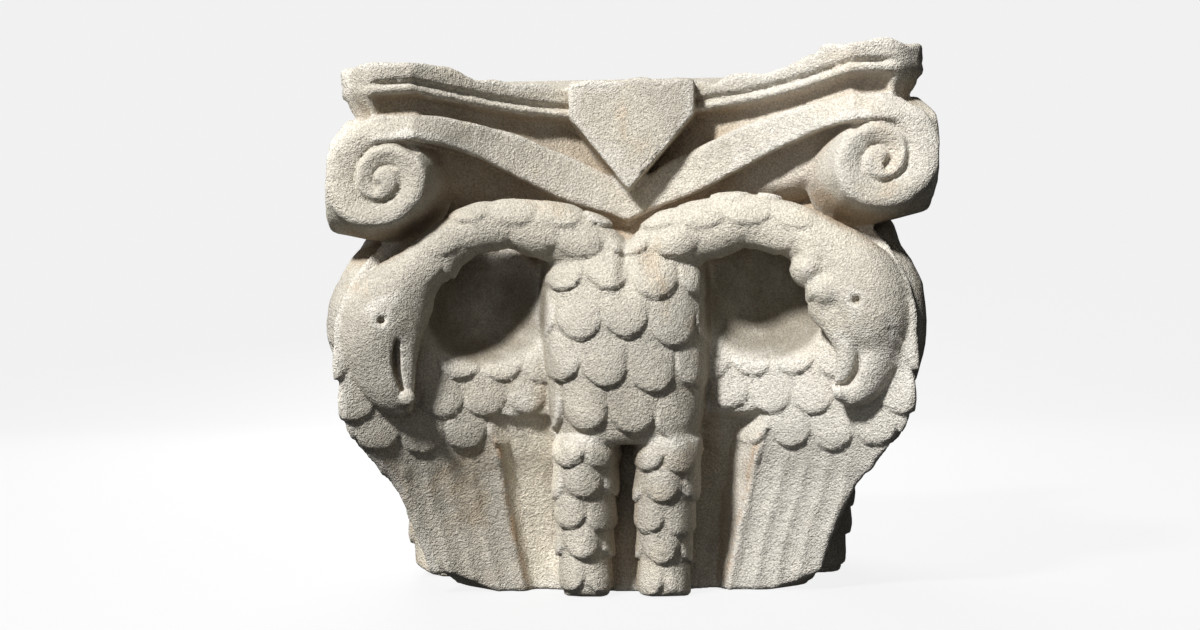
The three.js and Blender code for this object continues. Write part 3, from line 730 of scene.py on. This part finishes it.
def marble():
    """Worn crystalline marble: warm grey white, with ochre stains, brown and painted shade in its recesses,
    and painted light on the right side and the left panels.
    """
    shader = Shader("worn_marble")
    pale = (0.68, 0.628, 0.525, 1)
    grey = (0.51, 0.475, 0.405, 1)
    ochre = (0.58, 0.42, 0.25, 1)
    # The recess's brown, also used for painted shade in the hollows
    brown = (0.42, 0.32, 0.215, 1)
    # Painted shade for the creases and the niches
    deep_shade = (0.17, 0.14, 0.095, 1)
    # Partly the panels' own cream, partly painted light
    cream = (0.8, 0.73, 0.6, 1)
    # Lightens worn edges, and paints light on the right wing and volute
    pale_and_light = (0.78, 0.74, 0.665, 1)
    # Greys the lower breast and the left, and paints shade on the boss
    darker_grey = (0.37, 0.335, 0.275, 1)
    rust = (0.5, 0.3, 0.14, 1)
    clouds = shader.between(shader.noise(9, 5, 0.6, 0.4), 0.38, 0.68)
    colour = shader.mix(clouds, pale, grey)
    stain = shader.between(shader.noise(14, 6, 0.62, 0.6), 0.54, 0.72, 0, 0.5)
    colour = shader.mix(stain, colour, ochre)
    # Painted shade in the creases, broken up by noise
    crevice_shade = shader.between(shader.noted("crevice_shade"), 0.35, 0.95)
    broken = shader.between(shader.noise(60, 5, 0.7), 0.3, 0.65)
    colour = shader.mix(shader.times(crevice_shade, broken), colour, deep_shade)
    # Painted shade in the hollows, in brown
    hollow = shader.between(shader.noted("hollow"), 0.35, 0.95, 0, 0.6)
    colour = shader.mix(hollow, colour, brown)
    # Brown in the abacus's recess, partly the stone's colour and partly painted shade
    patchy = shader.between(shader.noise(35, 5, 0.7), 0.25, 0.7, 0.25, 0.8)
    colour = shader.mix(shader.times(shader.noted("recess"), patchy), colour, brown)
    # Darker grey low on the breast and to the left, and painted shade on the boss
    uneven = shader.between(shader.noise(22, 5, 0.7), 0.25, 0.65, 0.2, 0.75)
    colour = shader.mix(shader.times(shader.noted("grey_and_shade"), uneven), colour, darker_grey)
    # Painted light on the right wing and the top of the right volute
    colour = shader.mix(shader.times(shader.noted("painted_right_light"), 0.6), colour, pale_and_light)
    rusty = shader.between(shader.noise(45, 5, 0.7), 0.4, 0.6, 0, 0.7)
    colour = shader.mix(shader.times(shader.noted("seam"), rusty), colour, rust)
    # Cream on the panels: partly their own colour, partly painted light
    chalky = shader.between(shader.noise(30, 5, 0.65), 0.3, 0.55)
    colour = shader.mix(shader.times(shader.noted("panel"), chalky), colour, cream)
    # Painted shade in the niches
    niche_shade = shader.between(shader.noted("niche"), 0, 1, 0, 0.72)
    colour = shader.mix(niche_shade, colour, deep_shade)
    edge = shader.between(shader.noted("edge"), 0.12, 0.5, 0, 0.55)
    colour = shader.mix(edge, colour, pale_and_light)
    speckle = shader.between(shader.noise(800, 2, 0.7), 0.3, 0.7, 0.7, 1.2)
    colour = shader.mix(1.0, colour, speckle, "MULTIPLY")
    shader.feed(shader.surface.inputs["Base Color"], colour)
    shader.surface.inputs["Roughness"].default_value = 0.78
    shader.surface.inputs["Specular IOR Level"].default_value = 0.35
    crystals = shader.grains(850)
    pits = shader.between(shader.noise(480, 3, 0.7), 0.3, 0.6)
    pecks = shader.between(shader.noise(210, 4, 0.65), 0.25, 0.7)
    normal = shader.bump(pecks, 0.0007, 0.5)
    normal = shader.bump(pits, 0.0005, 0.7, normal)
    normal = shader.bump(crystals, 0.0005, 0.9, normal)
    shader.feed(shader.surface.inputs["Normal"], normal)
    return shader.material


def carve():
    """The carved stone as one closed mesh."""
    mesh = mesh_from(*skin(sample(GRID_STEP), GRID_STEP))
    piece = bpy.data.objects.new("capital_stone", mesh)
    bpy.context.collection.objects.link(piece)
    thin_out(piece, MOST_TRIANGLES)
    settle(piece.data)
    weather(piece.data)
    points = read(piece.data).astype(float) * TO_MILLIMETRES
    note_hollows(piece.data, points)
    note_places(piece.data, points)
    piece.data.polygons.foreach_set("use_smooth", np.ones(len(piece.data.polygons), bool))
    piece.data.materials.append(marble())
    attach(piece, "root")
    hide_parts("capital")


def backdrop():
    """A pale floor that curves up into a backdrop, far behind the stone."""
    front, bend, radius, top, half_width = -6, 2.2, 1.2, 5, 6
    angles = np.linspace(0.1, math.pi / 2, 16)
    outline = [(front, 0), (bend, 0)]
    outline += [(bend + radius * math.sin(a), radius - radius * math.cos(a)) for a in angles]
    outline.append((bend + radius, top))
    points = [(side * half_width, y, z) for y, z in outline for side in (-1, 1)]
    faces = [(2 * i, 2 * i + 1, 2 * i + 3, 2 * i + 2) for i in range(len(outline) - 1)]
    mesh = bpy.data.meshes.new("floor")
    mesh.from_pydata(points, [], faces)
    mesh.polygons.foreach_set("use_smooth", np.ones(len(faces), bool))
    floor = bpy.data.objects.new("floor", mesh)
    bpy.context.collection.objects.link(floor)
    material = bpy.data.materials.new("pale_floor")
    material.use_nodes = True
    surface = material.node_tree.nodes["Principled BSDF"]
    surface.inputs["Base Color"].default_value = (0.02, 0.02, 0.02, 1)
    surface.inputs["Roughness"].default_value = 0.9
    surface.inputs["Emission Color"].default_value = (1, 1, 1, 1)
    surface.inputs["Emission Strength"].default_value = 0.866
    mesh.materials.append(material)
    floor.visible_diffuse = False
    floor.visible_glossy = False


def lamp(name, place, target, size, watts):
    """A round lamp that faces the target."""
    light = bpy.data.lights.new(name, "AREA")
    light.shape = "DISK"
    light.size = size
    light.energy = watts
    lamp_object = bpy.data.objects.new(name, light)
    lamp_object.location = place
    lamp_object.rotation_euler = (Vector(target) - Vector(place)).to_track_quat("-Z", "Y").to_euler()
    bpy.context.collection.objects.link(lamp_object)


def light_up():
    """A key lamp high on the left, a faint fill from the front, one lamp behind and a dim sky."""
    middle = (0, 0, 0.2)
    lamp("key", (-1.2, -1.98, 2.08), middle, 0.4, 139)
    lamp("fill", (-0.3, -1.9, 0.4), middle, 1.0, 2.5)
    lamp("back", (-0.4, 2.6, 1.1), middle, 1.2, 45)
    world = bpy.data.worlds.new("studio")
    world.use_nodes = True
    sky = world.node_tree.nodes["Background"]
    sky.inputs["Color"].default_value = (0.93, 0.93, 0.93, 1)
    sky.inputs["Strength"].default_value = 0.04
    bpy.context.scene.world = world


# The camera, about level with the middle of the stone and turned slightly. Lengths are in metres.
LENS = 50  # millimetres
SENSOR = 36  # millimetres
PICTURE_WIDTH = 1200  # pixels
PICTURE_HEIGHT = 630  # pixels
AXIS_PIXEL = 637  # where the stone's middle lies across the picture
EYE_PIXEL = 345  # the height in the picture that is level with the camera
EYE_HEIGHT = 0.168
EYE_DISTANCE = 1.262
YAW = math.radians(2)
ROLL = math.radians(-0.8)


def look():
    """Sets up the camera."""
    focal = LENS / SENSOR * PICTURE_WIDTH
    ahead = Vector((-math.sin(YAW), math.cos(YAW), 0))
    right = Vector((math.cos(YAW), math.sin(YAW), 0))
    beside = (AXIS_PIXEL - PICTURE_WIDTH / 2) / focal * EYE_DISTANCE
    pitch = math.atan((EYE_PIXEL - PICTURE_HEIGHT / 2) / focal)
    camera = bpy.data.cameras.new("camera")
    camera.lens = LENS
    camera.sensor_width = SENSOR
    viewer = bpy.data.objects.new("camera", camera)
    turn = Matrix.Rotation(YAW, 4, "Z") @ Matrix.Rotation(math.pi / 2 + pitch, 4, "X")
    turn = turn @ Matrix.Rotation(ROLL, 4, "Z")
    place = Vector((0, 0, EYE_HEIGHT)) - ahead * EYE_DISTANCE - right * beside
    viewer.matrix_world = Matrix.Translation(place) @ turn
    bpy.context.collection.objects.link(viewer)
    bpy.context.scene.camera = viewer


look()
carve()
backdrop()
light_up()
bpy.context.scene.view_settings.view_transform = "Standard"
